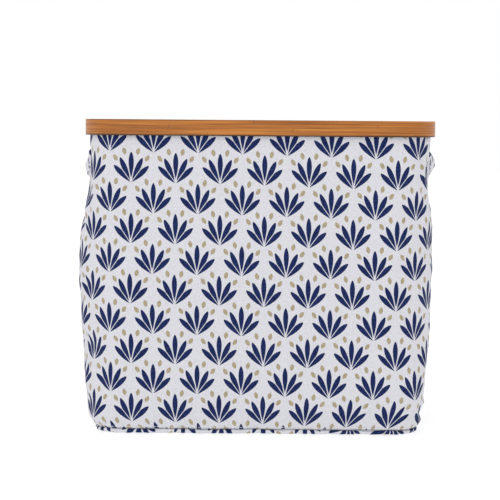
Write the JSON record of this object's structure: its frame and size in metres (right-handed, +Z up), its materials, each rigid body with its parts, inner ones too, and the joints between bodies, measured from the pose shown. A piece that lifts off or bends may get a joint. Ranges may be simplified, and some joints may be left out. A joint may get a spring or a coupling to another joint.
{
  "type": "fabric storage bin",
  "caption": "Rectangular cloth storage bin with a bamboo hoop rim, a pull handle at each end and a spring-held wall that presses down flat.",
  "frame": {"origin": "middle of the underside, where the bin stands", "axes": "+X along the long side towards the right-hand handle, front faces -Y, +Z up"},
  "size_m": [0.425, 0.306, 0.358],
  "materials": {
    "bamboo": "clear-varnished carbonised bamboo, fine level strips, satin",
    "printed_cloth": "plain-weave cotton, pale ground with navy leaf fans and tan seeds",
    "lining_cloth": "plain off-white non-woven and cotton, matt",
    "binding_tape": "folded cotton tape, matt",
    "board": "plain hardboard, matt",
    "spring_steel": "bright spring steel strip",
    "screw_brass": "plain brass",
    "thread": "polyester sewing thread"
  },
  "bodies": {
    "bag": {"wall_lower": "printed_cloth", "lining_lower": "lining_cloth", "lining_floor": "lining_cloth", "bottom_panel": "lining_cloth", "bottom_binding": "binding_tape", "base_board": "board", "base_board_sleeve": "lining_cloth", "stay_front_left": "spring_steel", "stay_front_right": "spring_steel", "stay_back_left": "spring_steel", "stay_back_right": "spring_steel", "channel_front_left": "lining_cloth", "channel_front_right": "lining_cloth", "channel_back_left": "lining_cloth", "channel_back_right": "lining_cloth"},
    "rim": {"rim_outer_hoop": "bamboo", "rim_inner_hoop": "bamboo", "rim_screws": "screw_brass", "wall_upper": "printed_cloth", "lining_upper": "lining_cloth", "left_handle_front_end": "printed_cloth", "left_handle_back_end": "printed_cloth", "right_handle_front_end": "printed_cloth", "right_handle_back_end": "printed_cloth", "handle_stitching": "thread"},
    "left_handle": {"left_handle_strap": "printed_cloth"},
    "right_handle": {"right_handle_strap": "printed_cloth"}
  },
  "joints": [
    {"name": "rim_press", "type": "slide", "parent": "bag", "child": "rim", "axis": [0, 0, 1], "range_m": [-0.25, 0], "stiffness_N_per_m": 50, "springref_m": 0.26, "deforming": ["wall_lower", "lining_lower", "stay_front_left", "stay_front_right", "stay_back_left", "stay_back_right", "channel_front_left", "channel_front_right", "channel_back_left", "channel_back_right"]},
    {"name": "left_handle_lift", "type": "hinge", "parent": "rim", "child": "left_handle", "pos_m": [-0.1968, 0, 0.324], "axis": [0, 1, 0], "range_deg": [0, 90]},
    {"name": "right_handle_lift", "type": "hinge", "parent": "rim", "child": "right_handle", "pos_m": [0.1968, 0, 0.324], "axis": [0, -1, 0], "range_deg": [0, 90]}
  ]
}
